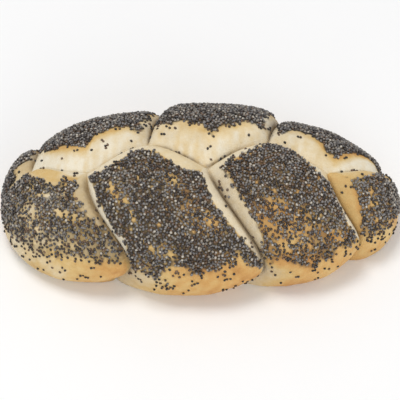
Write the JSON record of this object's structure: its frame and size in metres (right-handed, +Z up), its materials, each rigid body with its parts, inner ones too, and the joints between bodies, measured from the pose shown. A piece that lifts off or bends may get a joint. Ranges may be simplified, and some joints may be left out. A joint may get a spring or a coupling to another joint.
{
  "type": "bread roll",
  "caption": "Oval plaited bread roll with a golden crust, pale bare creases and a dense coat of poppy seeds, with a flat foot to stand on.",
  "frame": {"origin": "middle of the flat foot, at the centre of the roll's footprint, on the table", "axes": "+X along the roll, +Y across it towards its back, +Z up"},
  "size_m": [0.173, 0.0898, 0.0502],
  "materials": {
    "crust": "baked crust, from pale cream in the creases to golden brown on the lobes, satin",
    "seeds": "slate grey poppy seeds with a few brown ones, slightly glossy"
  },
  "bodies": {
    "root": {"bread_roll": "crust"}
  },
  "joints": []
}
